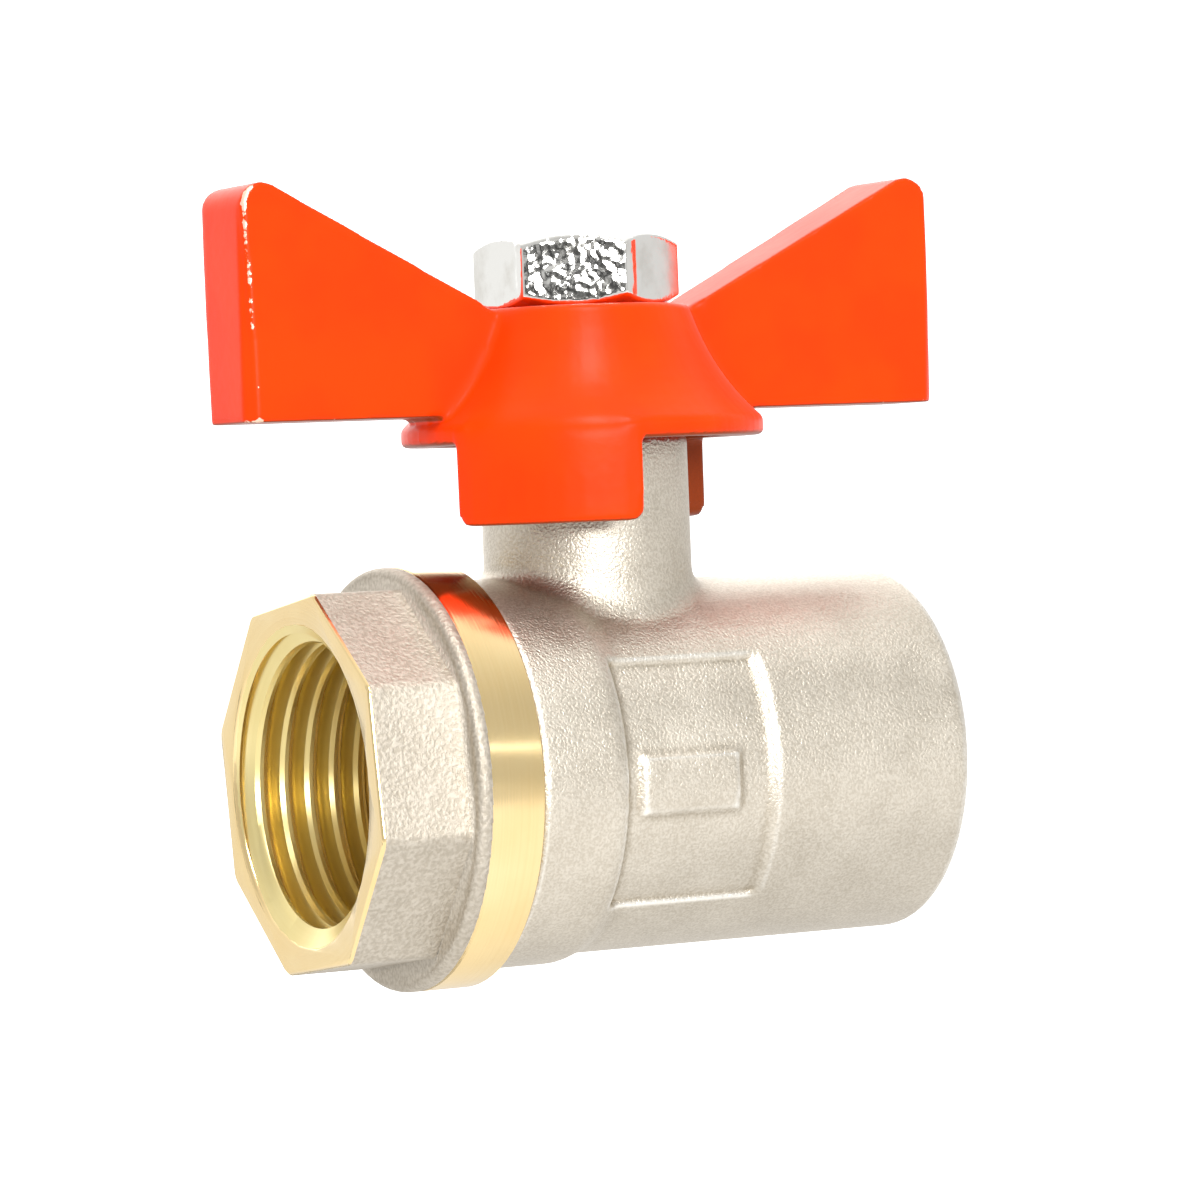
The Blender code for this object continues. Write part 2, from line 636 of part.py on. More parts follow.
def make_handle_nut(material):
    """A hexagon nut chamfered on both sides, which clamps the handle on the stem."""
    outline = polygon(NUT_FLATS, 6, NUT_TURN - 30)
    nut = piece("handle_nut", prism(outline, NUT_BOTTOM_Z, NUT_TOP_Z), material)
    drop = (NUT_CORNER_R - NUT_FACE_R) * NUT_CHAMFER_SLOPE
    past = NUT_CLEAR / NUT_CHAMFER_SLOPE
    chamfer = [
        (NUT_BOTTOM_Z - NUT_CLEAR, 0),
        (NUT_BOTTOM_Z - NUT_CLEAR, NUT_FACE_R - past),
        (NUT_BOTTOM_Z + drop, NUT_CORNER_R),
        (NUT_TOP_Z - drop, NUT_CORNER_R),
        (NUT_TOP_Z + NUT_CLEAR, NUT_FACE_R - past),
        (NUT_TOP_Z + NUT_CLEAR, 0),
    ]
    join(nut, form("nut_chamfer_form", turned(chamfer, "Z", 48)), "INTERSECT")
    hole_r = STEM_THREAD_R + GAP
    flare = hole_r + NUT_HOLE_CHAMFER + OVERSHOOT
    hole = [
        (NUT_BOTTOM_Z - OVERSHOOT, 0),
        (NUT_BOTTOM_Z - OVERSHOOT, flare),
        (NUT_BOTTOM_Z + NUT_HOLE_CHAMFER, hole_r),
        (NUT_TOP_Z - NUT_HOLE_CHAMFER, hole_r),
        (NUT_TOP_Z + OVERSHOOT, flare),
        (NUT_TOP_Z + OVERSHOOT, 0),
    ]
    join(nut, form("nut_hole_form", turned(hole, "Z", 32)), "DIFFERENCE")
    return nut


def main():
    clear_scene()
    nickel = finish_material("nickel_plate", (0.62, 0.59, 0.53), 0.38, 1.0)
    adapter_nickel = finish_material("adapter_nickel", (0.66, 0.60, 0.48), 0.38, 1.0)
    brass = finish_material("brass", (0.80, 0.58, 0.25), 0.28, 1.0)
    stem_brass = finish_material("stem_brass", (0.76, 0.56, 0.26), 0.3, 1.0)
    chrome = finish_material("ball_chrome", (0.80, 0.80, 0.82), 0.08, 1.0)
    zinc = finish_material("nut_plating", (0.75, 0.74, 0.72), 0.15, 1.0)
    paint = finish_material("orange_paint", (1.0, 0.09, 0.01), 0.35, 0.0)
    ptfe = finish_material("ptfe", (0.9, 0.9, 0.88), 0.5, 0.0)
    packing = finish_material("packing_ptfe", (0.86, 0.86, 0.84), 0.5, 0.0)
    rubber = finish_material("rubber", (0.03, 0.03, 0.03), 0.7, 0.0)

    make_body(nickel)
    make_end_adapter(adapter_nickel)
    make_seat("seat_ring_inlet", -1, ptfe)
    make_seat("seat_ring_outlet", 1, ptfe)
    adapter_ring = ring_profile(ADAPTER_RING_X, ADAPTER_RING_R, ADAPTER_RING_THICK / 2)
    piece("adapter_o_ring", turned(adapter_ring, "X", 32), rubber)
    make_washer("thrust_washer", SHOULDER_TOP_Z + GAP, POCKET_TOP_Z - GAP, SHOULDER_POCKET_R - GAP, ptfe)
    lower_z = PACKING_FLOOR_Z + GAP
    upper_z = lower_z + PACKING_RING_HEIGHT + GAP
    make_washer("packing_ring_lower", lower_z, lower_z + PACKING_RING_HEIGHT, PACKING_R, packing)
    make_washer("packing_ring_upper", upper_z, upper_z + PACKING_RING_HEIGHT, PACKING_R, packing)
    make_gland(brass)
    make_ball(chrome)

    spindle = bpy.data.objects.new("stem_axis", None)
    bpy.context.collection.objects.link(spindle)
    stem_ring_z = sum(STEM_GROOVE_Z) / 2
    ring = ring_profile(stem_ring_z, STEM_RING_R, STEM_RING_THICK / 2)
    stem_ring = piece("stem_o_ring", turned(ring, "Z", 24), rubber)
    for rider in (make_stem(stem_brass), make_handle(paint), make_handle_nut(zinc), stem_ring):
        rider.parent = spindle


main()
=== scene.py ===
import json
from math import cos, hypot, pi, radians, sin

import bpy
import numpy as np
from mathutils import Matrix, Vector

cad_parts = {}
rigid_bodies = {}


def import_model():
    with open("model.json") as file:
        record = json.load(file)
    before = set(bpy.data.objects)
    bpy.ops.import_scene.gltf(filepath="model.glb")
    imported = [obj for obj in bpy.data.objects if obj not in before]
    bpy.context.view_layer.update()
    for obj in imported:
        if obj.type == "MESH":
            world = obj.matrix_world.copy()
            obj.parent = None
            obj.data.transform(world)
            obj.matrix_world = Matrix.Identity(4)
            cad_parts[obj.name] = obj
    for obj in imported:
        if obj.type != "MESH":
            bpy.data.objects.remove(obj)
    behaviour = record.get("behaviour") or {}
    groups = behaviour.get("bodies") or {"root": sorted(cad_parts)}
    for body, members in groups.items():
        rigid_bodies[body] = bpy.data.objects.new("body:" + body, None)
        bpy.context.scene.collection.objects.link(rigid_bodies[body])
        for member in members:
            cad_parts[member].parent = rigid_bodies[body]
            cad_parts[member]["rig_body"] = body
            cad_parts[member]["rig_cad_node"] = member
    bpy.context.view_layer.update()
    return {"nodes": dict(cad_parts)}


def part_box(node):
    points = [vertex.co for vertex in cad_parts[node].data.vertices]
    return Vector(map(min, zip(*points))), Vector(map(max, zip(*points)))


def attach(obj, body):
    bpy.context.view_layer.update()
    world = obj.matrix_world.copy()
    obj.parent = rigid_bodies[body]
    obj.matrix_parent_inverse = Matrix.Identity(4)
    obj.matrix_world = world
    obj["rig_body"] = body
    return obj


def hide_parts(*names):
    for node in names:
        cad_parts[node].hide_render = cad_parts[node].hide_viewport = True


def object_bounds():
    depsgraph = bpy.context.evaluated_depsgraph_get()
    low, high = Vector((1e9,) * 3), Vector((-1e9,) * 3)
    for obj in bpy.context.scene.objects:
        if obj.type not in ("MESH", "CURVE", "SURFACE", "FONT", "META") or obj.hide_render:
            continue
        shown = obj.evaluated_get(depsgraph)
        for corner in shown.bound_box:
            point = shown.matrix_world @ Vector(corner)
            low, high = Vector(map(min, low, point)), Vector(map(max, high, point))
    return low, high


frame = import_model()


# Forged body. One brass forging carries the barrel, the neck and the outlet end. It is grit-blasted and
# nickel plated, so its edges are soft and its skin is grainy. The outlet is then faced and bored, down to
# bare brass.
BODY_VOXEL = 0.00024
BODY_SOFTENING = 3
BODY_SHARP_ANGLE = 35
FORGED_EDGE = 0.1
SOCKET_R = 0.01048
MOUTH_R = 0.01082
MOUTH_CHAMFER = 0.0004
FACING_CUT = 0.00006
BAND_SIDE_X = -0.0102
OUTLET_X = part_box("body")[1].x - FACING_CUT
OUTLET_BOTTOM_X = 0.01105
OUTLET_BORE_X = 0.0088
TOOL_REACH = 0.005
TOOL_OVERRUN = 0.001
BORE_STEPS = 128
TOLERANCE = 0.00001
NICKEL_COLOUR = (0.77, 0.71, 0.61)
NICKEL_SHADE = (0.46, 0.40, 0.31)
# The pale edge colour is a painted highlight, and creases get painted shade.
NICKEL_EDGE_HIGHLIGHT = (0.97, 0.93, 0.85)
NICKEL_PATCH = 0.0035
NICKEL_DULLING = 0.16
SHADE_IN_CREASES = 0.75
RUBBED_AND_HIGHLIT_FROM = 0.25
BRASS_COLOUR = (0.94, 0.74, 0.40)
BRASS_SHADE = (0.80, 0.54, 0.20)
BRASS_TARNISH = 0.0045
BRASS_DULLING = 0.2


def select_only(item):
    bpy.ops.object.select_all(action="DESELECT")
    item.select_set(True)
    bpy.context.view_layer.objects.active = item


def copy_of_node(node, name):
    """A separate, merged copy of a CAD piece, ready to be finished by hand."""
    select_only(frame["nodes"][node])
    bpy.ops.object.duplicate()
    item = bpy.context.object
    item.name = name
    item.parent = None
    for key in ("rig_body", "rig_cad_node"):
        if key in item:
            del item[key]
    bpy.ops.object.mode_set(mode="EDIT")
    bpy.ops.mesh.select_all(action="SELECT")
    bpy.ops.mesh.remove_doubles(threshold=1e-6)
    bpy.ops.object.mode_set(mode="OBJECT")
    item.data.materials.clear()
    return item


def apply_modifier(item, kind, **settings):
    modifier = item.modifiers.new(kind.lower(), kind)
    for key, value in settings.items():
        setattr(modifier, key, value)
    select_only(item)
    bpy.ops.object.modifier_apply(modifier=modifier.name)


def cast_skin(item, voxel, softening):
    """Rounds every edge a little, as a mould and a coat of plating or paint do."""
    apply_modifier(item, "REMESH", mode="VOXEL", voxel_size=voxel, use_smooth_shade=True)
    apply_modifier(item, "SMOOTH", factor=0.5, iterations=softening)


def smooth_by_angle(item, degrees):
    """Shades the piece smooth, but keeps edges sharper than the angle crisp."""
    select_only(item)
    bpy.ops.object.shade_smooth_by_angle(angle=radians(degrees))


def drawn_profile(name, points):
    """Draws a line point by point, from one vertex, and leaves it open in edit mode."""
    bpy.ops.object.select_all(action="DESELECT")
    bpy.ops.mesh.primitive_plane_add(size=0.001)
    item = bpy.context.object
    item.name = name
    bpy.ops.object.mode_set(mode="EDIT")
    bpy.ops.mesh.select_all(action="SELECT")
    bpy.ops.mesh.merge(type="CENTER")
    bpy.ops.transform.translate(value=points[0])
    for start, end in zip(points, points[1:]):
        step = Vector(end) - Vector(start)
        bpy.ops.mesh.extrude_region_move(TRANSFORM_OT_translate={"value": step})
    return item


def turned_solid(name, profile, steps):
    """Spins (along X, radius) points round the pipe axis and closes the seam."""
    item = drawn_profile(name, [(x, 0, r) for x, r in profile])
    bpy.ops.mesh.select_all(action="SELECT")
    bpy.ops.mesh.spin(steps=steps, angle=2 * pi, center=(0, 0, 0), axis=(1, 0, 0))
    bpy.ops.mesh.select_all(action="SELECT")
    bpy.ops.mesh.remove_doubles(threshold=1e-6)
    bpy.ops.mesh.normals_make_consistent(inside=False)
    bpy.ops.object.mode_set(mode="OBJECT")
    return item


def shaped_by(item, tool, operation):
    """Cuts the tool's shape out of the piece, or keeps only what lies in it, and takes the tool away."""
    apply_modifier(item, "BOOLEAN", operation=operation, solver="EXACT", object=tool)
    bpy.data.objects.remove(tool)


def vertex_places(item):
    places = np.empty(len(item.data.vertices) * 3, np.float32)
    item.data.vertices.foreach_get("co", places)
    return places.reshape(-1, 3)


def vertex_normals(item):
    normals = np.empty(len(item.data.vertices) * 3, np.float32)
    item.data.vertex_normals.foreach_get("vector", normals)
    return normals.reshape(-1, 3)


def neighbour_mean(values, pairs, count):
    """The mean over each vertex's neighbours, along the mesh's edges."""
    total = np.zeros_like(values)
    np.add.at(total, pairs[:, 0], values[pairs[:, 1]])
    np.add.at(total, pairs[:, 1], values[pairs[:, 0]])
    return total / count.reshape(-1, *[1] * (values.ndim - 1))


def relief(item, full_at):
    """How far each vertex stands out from its neighbours: 1 on a sharp edge, 0 on a flat, -1 in a crease."""
    places = vertex_places(item)
    pairs = np.empty(len(item.data.edges) * 2, np.int32)
    item.data.edges.foreach_get("vertices", pairs)
    pairs = pairs.reshape(-1, 2)
    count = np.bincount(pairs.ravel(), minlength=len(places)).astype(np.float32)
    step = np.linalg.norm(places[pairs[:, 0]] - places[pairs[:, 1]], axis=1).mean()
    lift = places - neighbour_mean(places, pairs, count)
    stand_out = (lift * vertex_normals(item)).sum(1) / step
    stand_out = (stand_out + neighbour_mean(stand_out, pairs, count)) / 2
    return np.clip(stand_out / full_at, -1, 1)


def store_values(item, name, values):
    """Keeps one value per vertex on the mesh, for a material to read."""
    attribute = item.data.attributes.new(name, "FLOAT", "POINT")
    attribute.data.foreach_set("value", values.astype(np.float32))


forging = copy_of_node("body", "forged_body")
cast_skin(forging, BODY_VOXEL, BODY_SOFTENING)
# The relief sets painted shade in creases and a painted highlight on edges; beside the band only the shade is
# kept.
forging_relief = relief(forging, FORGED_EDGE)
beside_band = vertex_places(forging)[:, 0] < BAND_SIDE_X
forging_relief[beside_band] = np.minimum(forging_relief[beside_band], 0.0)
store_values(forging, "relief", forging_relief)
boring_tool = turned_solid(
    "boring_tool",
    [
        (OUTLET_BOTTOM_X, 0),
        (OUTLET_BOTTOM_X, SOCKET_R),
        (OUTLET_X - MOUTH_CHAMFER, SOCKET_R),
        (OUTLET_X, MOUTH_R),
        (OUTLET_X, SOCKET_R + TOOL_REACH),
        (OUTLET_X + TOOL_OVERRUN, SOCKET_R + TOOL_REACH),
        (OUTLET_X + TOOL_OVERRUN, 0),
    ],
    BORE_STEPS,
)
shaped_by(forging, boring_tool, "DIFFERENCE")
smooth_by_angle(forging, BODY_SHARP_ANGLE)


def new_material(name, roughness, metallic):
    material = bpy.data.materials.new(name)
    material.use_nodes = True
    shader = material.node_tree.nodes["Principled BSDF"]
    shader.inputs["Roughness"].default_value = roughness
    shader.inputs["Metallic"].default_value = metallic
    return material, material.node_tree, shader


def plug(tree, socket, value):
    """Links a socket to another node's output, or sets it to a plain value."""
    if isinstance(value, bpy.types.NodeSocket):
        tree.links.new(value, socket)
    else:
        socket.default_value = value


def set_inputs(tree, node, **inputs):
    """Sets a node's inputs by name, with _ for a space."""
    for name, value in inputs.items():
        plug(tree, node.inputs[name.replace("_", " ")], value)
    return node


def maths(tree, operation, *values):
    """A Math node's answer. MULTIPLY_ADD is the first value times the second, plus the third."""
    node = tree.nodes.new("ShaderNodeMath")
    node.operation = operation
    for socket, value in zip(node.inputs, values):
        plug(tree, socket, value)
    return node.outputs[0]


def swung(tree, middle, spots, swing):
    """The middle value, higher where the spots are above one half and lower where they are below."""
    return maths(tree, "MULTIPLY_ADD", spots, swing, maths(tree, "SUBTRACT", middle, swing / 2))


def noise(tree, place, size, detail=2.0):
    """Soft random spots of about the given size, a number in metres or another node's output."""
    node = set_inputs(tree, tree.nodes.new("ShaderNodeTexNoise"), Vector=place, Detail=detail)
    scale = maths(tree, "DIVIDE", 1.0, size) if isinstance(size, bpy.types.NodeSocket) else 1 / size
    plug(tree, node.inputs["Scale"], scale)
    return node.outputs[0]


def eased(tree, value, low, high, to_low=0.0, to_high=1.0):
    """Eases a value from one range to another, with soft ends."""
    node = tree.nodes.new("ShaderNodeMapRange")
    node.interpolation_type = "SMOOTHSTEP"
    set_inputs(tree, node, Value=value, From_Min=low, From_Max=high, To_Min=to_low, To_Max=to_high)
    return node.outputs[0]


def blended(tree, share, first, second):
    """The first colour where the share is 0 and the second where it is 1."""
    node = tree.nodes.new("ShaderNodeMix")
    node.data_type = "RGBA"
    factor, first_colour, second_colour = node.inputs[0], node.inputs[6], node.inputs[7]
    plug(tree, factor, share)
    for socket, colour in ((first_colour, first), (second_colour, second)):
        plug(tree, socket, (*colour, 1.0) if isinstance(colour, tuple) else colour)
    return node.outputs[2]


def stored(tree, name):
    """The value that the mesh keeps at each vertex under this name."""
    node = tree.nodes.new("ShaderNodeAttribute")
    node.attribute_name = name
    return node.outputs["Fac"]


def new_group(name, inputs, outputs):
    """A shared effect: a group with a place and named inputs (name: default), and named number outputs."""
    group = bpy.data.node_groups.new(name, "ShaderNodeTree")
    group.interface.new_socket("Place", in_out="INPUT", socket_type="NodeSocketVector")
    for socket_name, default in inputs.items():
        made = group.interface.new_socket(socket_name, in_out="INPUT", socket_type="NodeSocketFloat")
        made.default_value = default
    for socket_name in outputs:
        group.interface.new_socket(socket_name, in_out="OUTPUT", socket_type="NodeSocketFloat")
    source = group.nodes.new("NodeGroupInput").outputs
    target = group.nodes.new("NodeGroupOutput")
    return group, source, target


def placed_group(tree, group, **inputs):
    """Puts a shared effect in a material, reading the piece's own coordinates."""
    node = tree.nodes.new("ShaderNodeGroup")
    node.node_tree = group
    place = tree.nodes.new("ShaderNodeTexCoord").outputs["Object"]
    set_inputs(tree, node, Place=place, **inputs)
    return node.outputs


def bumped(tree, shader, height, distance):
    bump = set_inputs(tree, tree.nodes.new("ShaderNodeBump"), Height=height, Distance=distance, Strength=1.0)
    tree.links.new(bump.outputs[0], shader.inputs["Normal"])


blasted_skin, source, target = new_group(
    "blasted_skin",
    {"Grain": 0.0003, "Roughness": 0.32},
    ("Shade", "Roughness", "Height"),
)
tree = blasted_skin
grain = noise(tree, source["Place"], source["Grain"], 2.5)
pits = tree.nodes.new("ShaderNodeTexVoronoi")
pit_scale = maths(tree, "DIVIDE", 0.55, source["Grain"])
set_inputs(tree, pits, Vector=source["Place"], Scale=pit_scale, Randomness=1.0)
dimples = eased(tree, pits.outputs["Distance"], 0.0, 0.55)
patches = noise(tree, source["Place"], NICKEL_PATCH, 3.0)
speckle = eased(tree, grain, 0.32, 0.68)
shade = maths(tree, "MULTIPLY_ADD", speckle, -0.42, 0.62)
set_inputs(
    tree,
    target,
    Shade=maths(tree, "MULTIPLY_ADD", patches, -0.55, maths(tree, "ADD", shade, 0.2)),
    Roughness=swung(tree, source["Roughness"], patches, NICKEL_DULLING),
    Height=maths(tree, "ADD", maths(tree, "MULTIPLY", speckle, 0.6), maths(tree, "MULTIPLY", dimples, 0.4)),
)


def plated_nickel(name, grain, depth, roughness, colour=NICKEL_COLOUR, shade=NICKEL_SHADE):
    """Nickel plate over a grit-blasted forging: dull pale grain, painted shade in creases, and standing edges
    painted brighter as a highlight and made glossier.
    """
    material, tree, shader = new_material(name, roughness, 1.0)
    skin = placed_group(tree, blasted_skin, Grain=grain, Roughness=roughness)
    height = stored(tree, "relief")
    # Painted shade darkens the creases, and a painted highlight brightens the standing edges.
    crease = maths(tree, "MINIMUM", height, 0.0)
    crease_shade = maths(tree, "MULTIPLY_ADD", crease, -SHADE_IN_CREASES, skin["Shade"])
    rubbed_and_highlit = eased(tree, height, RUBBED_AND_HIGHLIT_FROM, 1.0)
    set_inputs(
        tree,
        shader,
        Base_Color=blended(tree, rubbed_and_highlit, blended(tree, crease_shade, colour, shade), NICKEL_EDGE_HIGHLIGHT),
        Roughness=maths(tree, "MULTIPLY_ADD", rubbed_and_highlit, -0.1, skin["Roughness"]),
    )
    bumped(tree, shader, skin["Height"], depth)
    return material


turning_marks, source, target = new_group(
    "turning_marks",
    {"Pitch": 0.00016, "Roughness": 0.22},
    ("Shade", "Roughness", "Height"),
)
tree = turning_marks
split = set_inputs(tree, tree.nodes.new("ShaderNodeSeparateXYZ"), Vector=source["Place"])
along, across, up = split.outputs
across_squared = maths(tree, "MULTIPLY", across, across)
radius = maths(tree, "SQRT", maths(tree, "ADD", across_squared, maths(tree, "MULTIPLY", up, up)))
drift = maths(tree, "MULTIPLY", maths(tree, "ADD", across, up), 0.012)
lathe_place = set_inputs(tree, tree.nodes.new("ShaderNodeCombineXYZ"), X=along, Y=radius, Z=drift)
grooves = noise(tree, lathe_place.outputs[0], source["Pitch"], 1.0)
tarnish = noise(tree, source["Place"], BRASS_TARNISH, 3.0)
set_inputs(
    tree,
    target,
    Shade=maths(tree, "MULTIPLY_ADD", grooves, 0.3, maths(tree, "MULTIPLY_ADD", tarnish, 0.7, -0.28)),
    Roughness=swung(tree, source["Roughness"], tarnish, BRASS_DULLING),
    Height=grooves,
)


def turned_finish(name, pitch, depth, roughness, colour=BRASS_COLOUR, shade=BRASS_SHADE, metallic=1.0):
    """A finish off the lathe, brass unless said otherwise, with fine tool rings and soft patches."""
    material, tree, shader = new_material(name, roughness, metallic)
    marks = placed_group(tree, turning_marks, Pitch=pitch, Roughness=roughness)
    set_inputs(
        tree,
        shader,
        Base_Color=blended(tree, marks["Shade"], colour, shade),
        Roughness=marks["Roughness"],
    )
    bumped(tree, shader, marks["Height"], depth)
    return material


def give_to_faces(item, index, wanted):
    """Gives a material slot to the faces whose centre is wanted."""
    for face in item.data.polygons:
        if wanted(face.center):
            face.material_index = index


def outlet_is_bare(centre):
    """True on the faced end, its chamfer and the bore."""
    radius = hypot(centre.y, centre.z)
    faced = centre.x > OUTLET_X - 2 * TOLERANCE
    chamfer = centre.x > OUTLET_X - MOUTH_CHAMFER and radius < MOUTH_R
    bore = centre.x > OUTLET_BORE_X and radius < SOCKET_R + TOLERANCE
    return faced or chamfer or bore


body_nickel = plated_nickel("blasted_nickel", 0.00018, 0.000026, 0.40)
lathe_brass = turned_finish("turned_brass", 0.00014, 0.000007, 0.18)
forging.data.materials.append(body_nickel)
forging.data.materials.append(lathe_brass)
give_to_faces(forging, 1, outlet_is_bare)
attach(forging, "housing")
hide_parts("body")


# End piece. A forged octagon and collar with the same plating as the body, painted darker as painted shade,
# screwed into it after the ball.
# Its end face, its bore and the broad band against the body are turned, so they show bare brass.
BAND_START_X = -0.01476
END_FACE_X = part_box("end_adapter")[0].x
FACE_EDGE_BREAK = 0.00021
END_BORE_R = 0.0108
END_SHARP_ANGLE = 32
# Both octagon colours are darker than the body's nickel, as painted shade.
OCTAGON_SHADED_COLOUR = (0.66, 0.605, 0.52)
OCTAGON_SHADE = (0.37, 0.32, 0.245)


def end_is_bare(centre):
    """True on the end face, the bore and the band."""
    face = centre.x < END_FACE_X + FACE_EDGE_BREAK
    return face or centre.x > BAND_START_X or hypot(centre.y, centre.z) < END_BORE_R


adapter = copy_of_node("end_adapter", "end_piece")
smooth_by_angle(adapter, END_SHARP_ANGLE)
apply_modifier(adapter, "WEIGHTED_NORMAL", keep_sharp=True, weight=80)
octagon_nickel = plated_nickel("blasted_octagon", 0.00027, 0.000042, 0.6, OCTAGON_SHADED_COLOUR, OCTAGON_SHADE)
adapter.data.materials.append(octagon_nickel)
adapter.data.materials.append(lathe_brass)
give_to_faces(adapter, 1, end_is_bare)
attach(adapter, "housing")
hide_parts("end_adapter")


# Pipe threads. Half-inch parallel pipe thread, fourteen turns to the inch, cut in the brass of both sockets.
# Each thread is one ridge wound along the bore, with a chamfer at the mouth and a fading last turn.
THREAD_PITCH = 0.001814
THREAD_STEPS = 84
THREAD_CREST_R = 0.00932
THREAD_ROOT_R = 0.01065
HALF_RIDGE = [
    (0.0, THREAD_CREST_R),
    (0.00032, 0.00944),
    (0.00048, 0.00976),
    (0.00064, 0.01018),
    (0.00084, 0.01046),
    (0.00084, THREAD_ROOT_R),
]
THREAD_START = 0.00008
THREAD_END = 0.0100
THREAD_CHAMFER = 0.0010
THREAD_FADE = 0.0012
THREAD_SHARP_ANGLE = 40
BLANK_MOUTH_R = MOUTH_R - 0.00004
BLANK_INNER_R = THREAD_CREST_R - 0.0001
BLANK_OUTER_R = THREAD_ROOT_R + 0.0002
BLANK_FADE_R = THREAD_ROOT_R + 0.0001
BLANK_STEPS = 96
THREAD_COLOUR = (0.91, 0.77, 0.38)
THREAD_SHADE = (0.76, 0.60, 0.22)


def wound_thread(name, mouth_x, inward):
    """Winds one ridge through the socket and keeps what lies in a ring with a chamfer at each end."""
    turns = int(THREAD_END / THREAD_PITCH) + 3
    start_x = mouth_x - inward * THREAD_PITCH
    if inward < 0:
        start_x -= turns * THREAD_PITCH
    far_half = [(-along, radius) for along, radius in reversed(HALF_RIDGE[1:])]
    ridge = far_half + HALF_RIDGE + far_half[:1]
    item = drawn_profile(name, [(start_x + along, 0, radius) for along, radius in ridge])
    bpy.ops.mesh.select_all(action="SELECT")
    bpy.ops.mesh.remove_doubles(threshold=1e-6)
    bpy.ops.object.mode_set(mode="OBJECT")
    apply_modifier(
        item,
        "SCREW",
        axis="X",
        screw_offset=THREAD_PITCH,
        iterations=turns,
        steps=THREAD_STEPS,
        render_steps=THREAD_STEPS,
        use_merge_vertices=False,
    )
    bpy.ops.object.mode_set(mode="EDIT")
    bpy.ops.mesh.select_all(action="SELECT")
    bpy.ops.mesh.fill_holes(sides=0)
    bpy.ops.mesh.select_all(action="SELECT")
    bpy.ops.mesh.normals_make_consistent(inside=False)
    bpy.ops.object.mode_set(mode="OBJECT")
    ring = [
        (THREAD_START, BLANK_OUTER_R),
        (THREAD_START, BLANK_MOUTH_R),
        (THREAD_START + THREAD_CHAMFER, BLANK_INNER_R),
        (THREAD_END - THREAD_FADE, BLANK_INNER_R),
        (THREAD_END, BLANK_FADE_R),
        (THREAD_END, BLANK_OUTER_R),
        (THREAD_START, BLANK_OUTER_R),
    ]
    blank = turned_solid("thread_blank", [(mouth_x + inward * depth, r) for depth, r in ring], BLANK_STEPS)
    shaped_by(item, blank, "INTERSECT")
    smooth_by_angle(item, THREAD_SHARP_ANGLE)
    return item


thread_brass = turned_finish("thread_brass", 0.00022, 0.000004, 0.32, THREAD_COLOUR, THREAD_SHADE)
inlet_thread = wound_thread("inlet_thread", END_FACE_X, 1)
outlet_thread = wound_thread("outlet_thread", OUTLET_X, -1)
for thread, slot_name in ((inlet_thread, "adapter_brass"), (outlet_thread, "brass")):
    thread.data.materials.append(thread_brass)
    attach(thread, "housing")


# Ball. A brass ball bored through, ground round and hard-chrome plated, so it is nearly a mirror with faint
# rings from lapping. It sits between the two seats and the stem's tang turns it.
BALL_SHARP_ANGLE = 30
CHROME_COLOUR = (0.82, 0.82, 0.84)
CHROME_SHADE = (0.66, 0.66, 0.70)
ball_chrome = turned_finish("lapped_chrome", 0.00025, 0.000001, 0.1, CHROME_COLOUR, CHROME_SHADE)
ball = copy_of_node("ball", "chromed_ball")
smooth_by_angle(ball, BALL_SHARP_ANGLE)
ball.data.materials.append(ball_chrome)
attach(ball, "ball")
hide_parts("ball")


# Seats, washer and packing. Turned PTFE rings, waxy white, with faint tool rings and a few dull patches. The
# end piece presses the seats on the ball, and the gland presses the packing round the stem.
PTFE_COLOUR = (0.88, 0.88, 0.85)
PTFE_SHADE = (0.74, 0.73, 0.69)
PTFE_NODES = (
    "seat_ring_inlet",
    "seat_ring_outlet",
    "thrust_washer",
    "packing_ring_lower",
    "packing_ring_upper",
)
ptfe = turned_finish("turned_ptfe", 0.0002, 0.000006, 0.45, PTFE_COLOUR, PTFE_SHADE, metallic=0.0)
shader = ptfe.node_tree.nodes["Principled BSDF"]
shader.inputs["Subsurface Weight"].default_value = 0.1
shader.inputs["Subsurface Radius"].default_value = (0.0006, 0.0005, 0.0004)


def dress_nodes(nodes, material):
    """Gives CAD pieces that keep their shape their finished material."""
    for node in nodes:
        mesh = frame["nodes"][node].data
        mesh.materials.clear()
        mesh.materials.append(material)


dress_nodes(PTFE_NODES, ptfe)


# O-rings. Moulded black nitrile rubber, with a dull skin. One is squeezed in the end piece's groove and the
# other in the stem's.
nitrile, tree, shader = new_material("black_nitrile", 0.6, 0.0)
skin = placed_group(tree, blasted_skin, Grain=0.00012, Roughness=0.62)
set_inputs(
    tree,
    shader,
    Base_Color=blended(tree, skin["Shade"], (0.030, 0.030, 0.031), (0.012, 0.012, 0.013)),
    Roughness=skin["Roughness"],
)
bumped(tree, shader, skin["Height"], 0.00001)
dress_nodes(("adapter_o_ring", "stem_o_ring"), nitrile)


# Stem and gland. Turned brass. The stem passes up through the packing and its threaded top shows in the nut,
# and the slotted gland screws down on the packing.
stem_brass = turned_finish("stem_brass", 0.00014, 0.000006, 0.26)
dress_nodes(("stem", "packing_gland"), stem_brass)


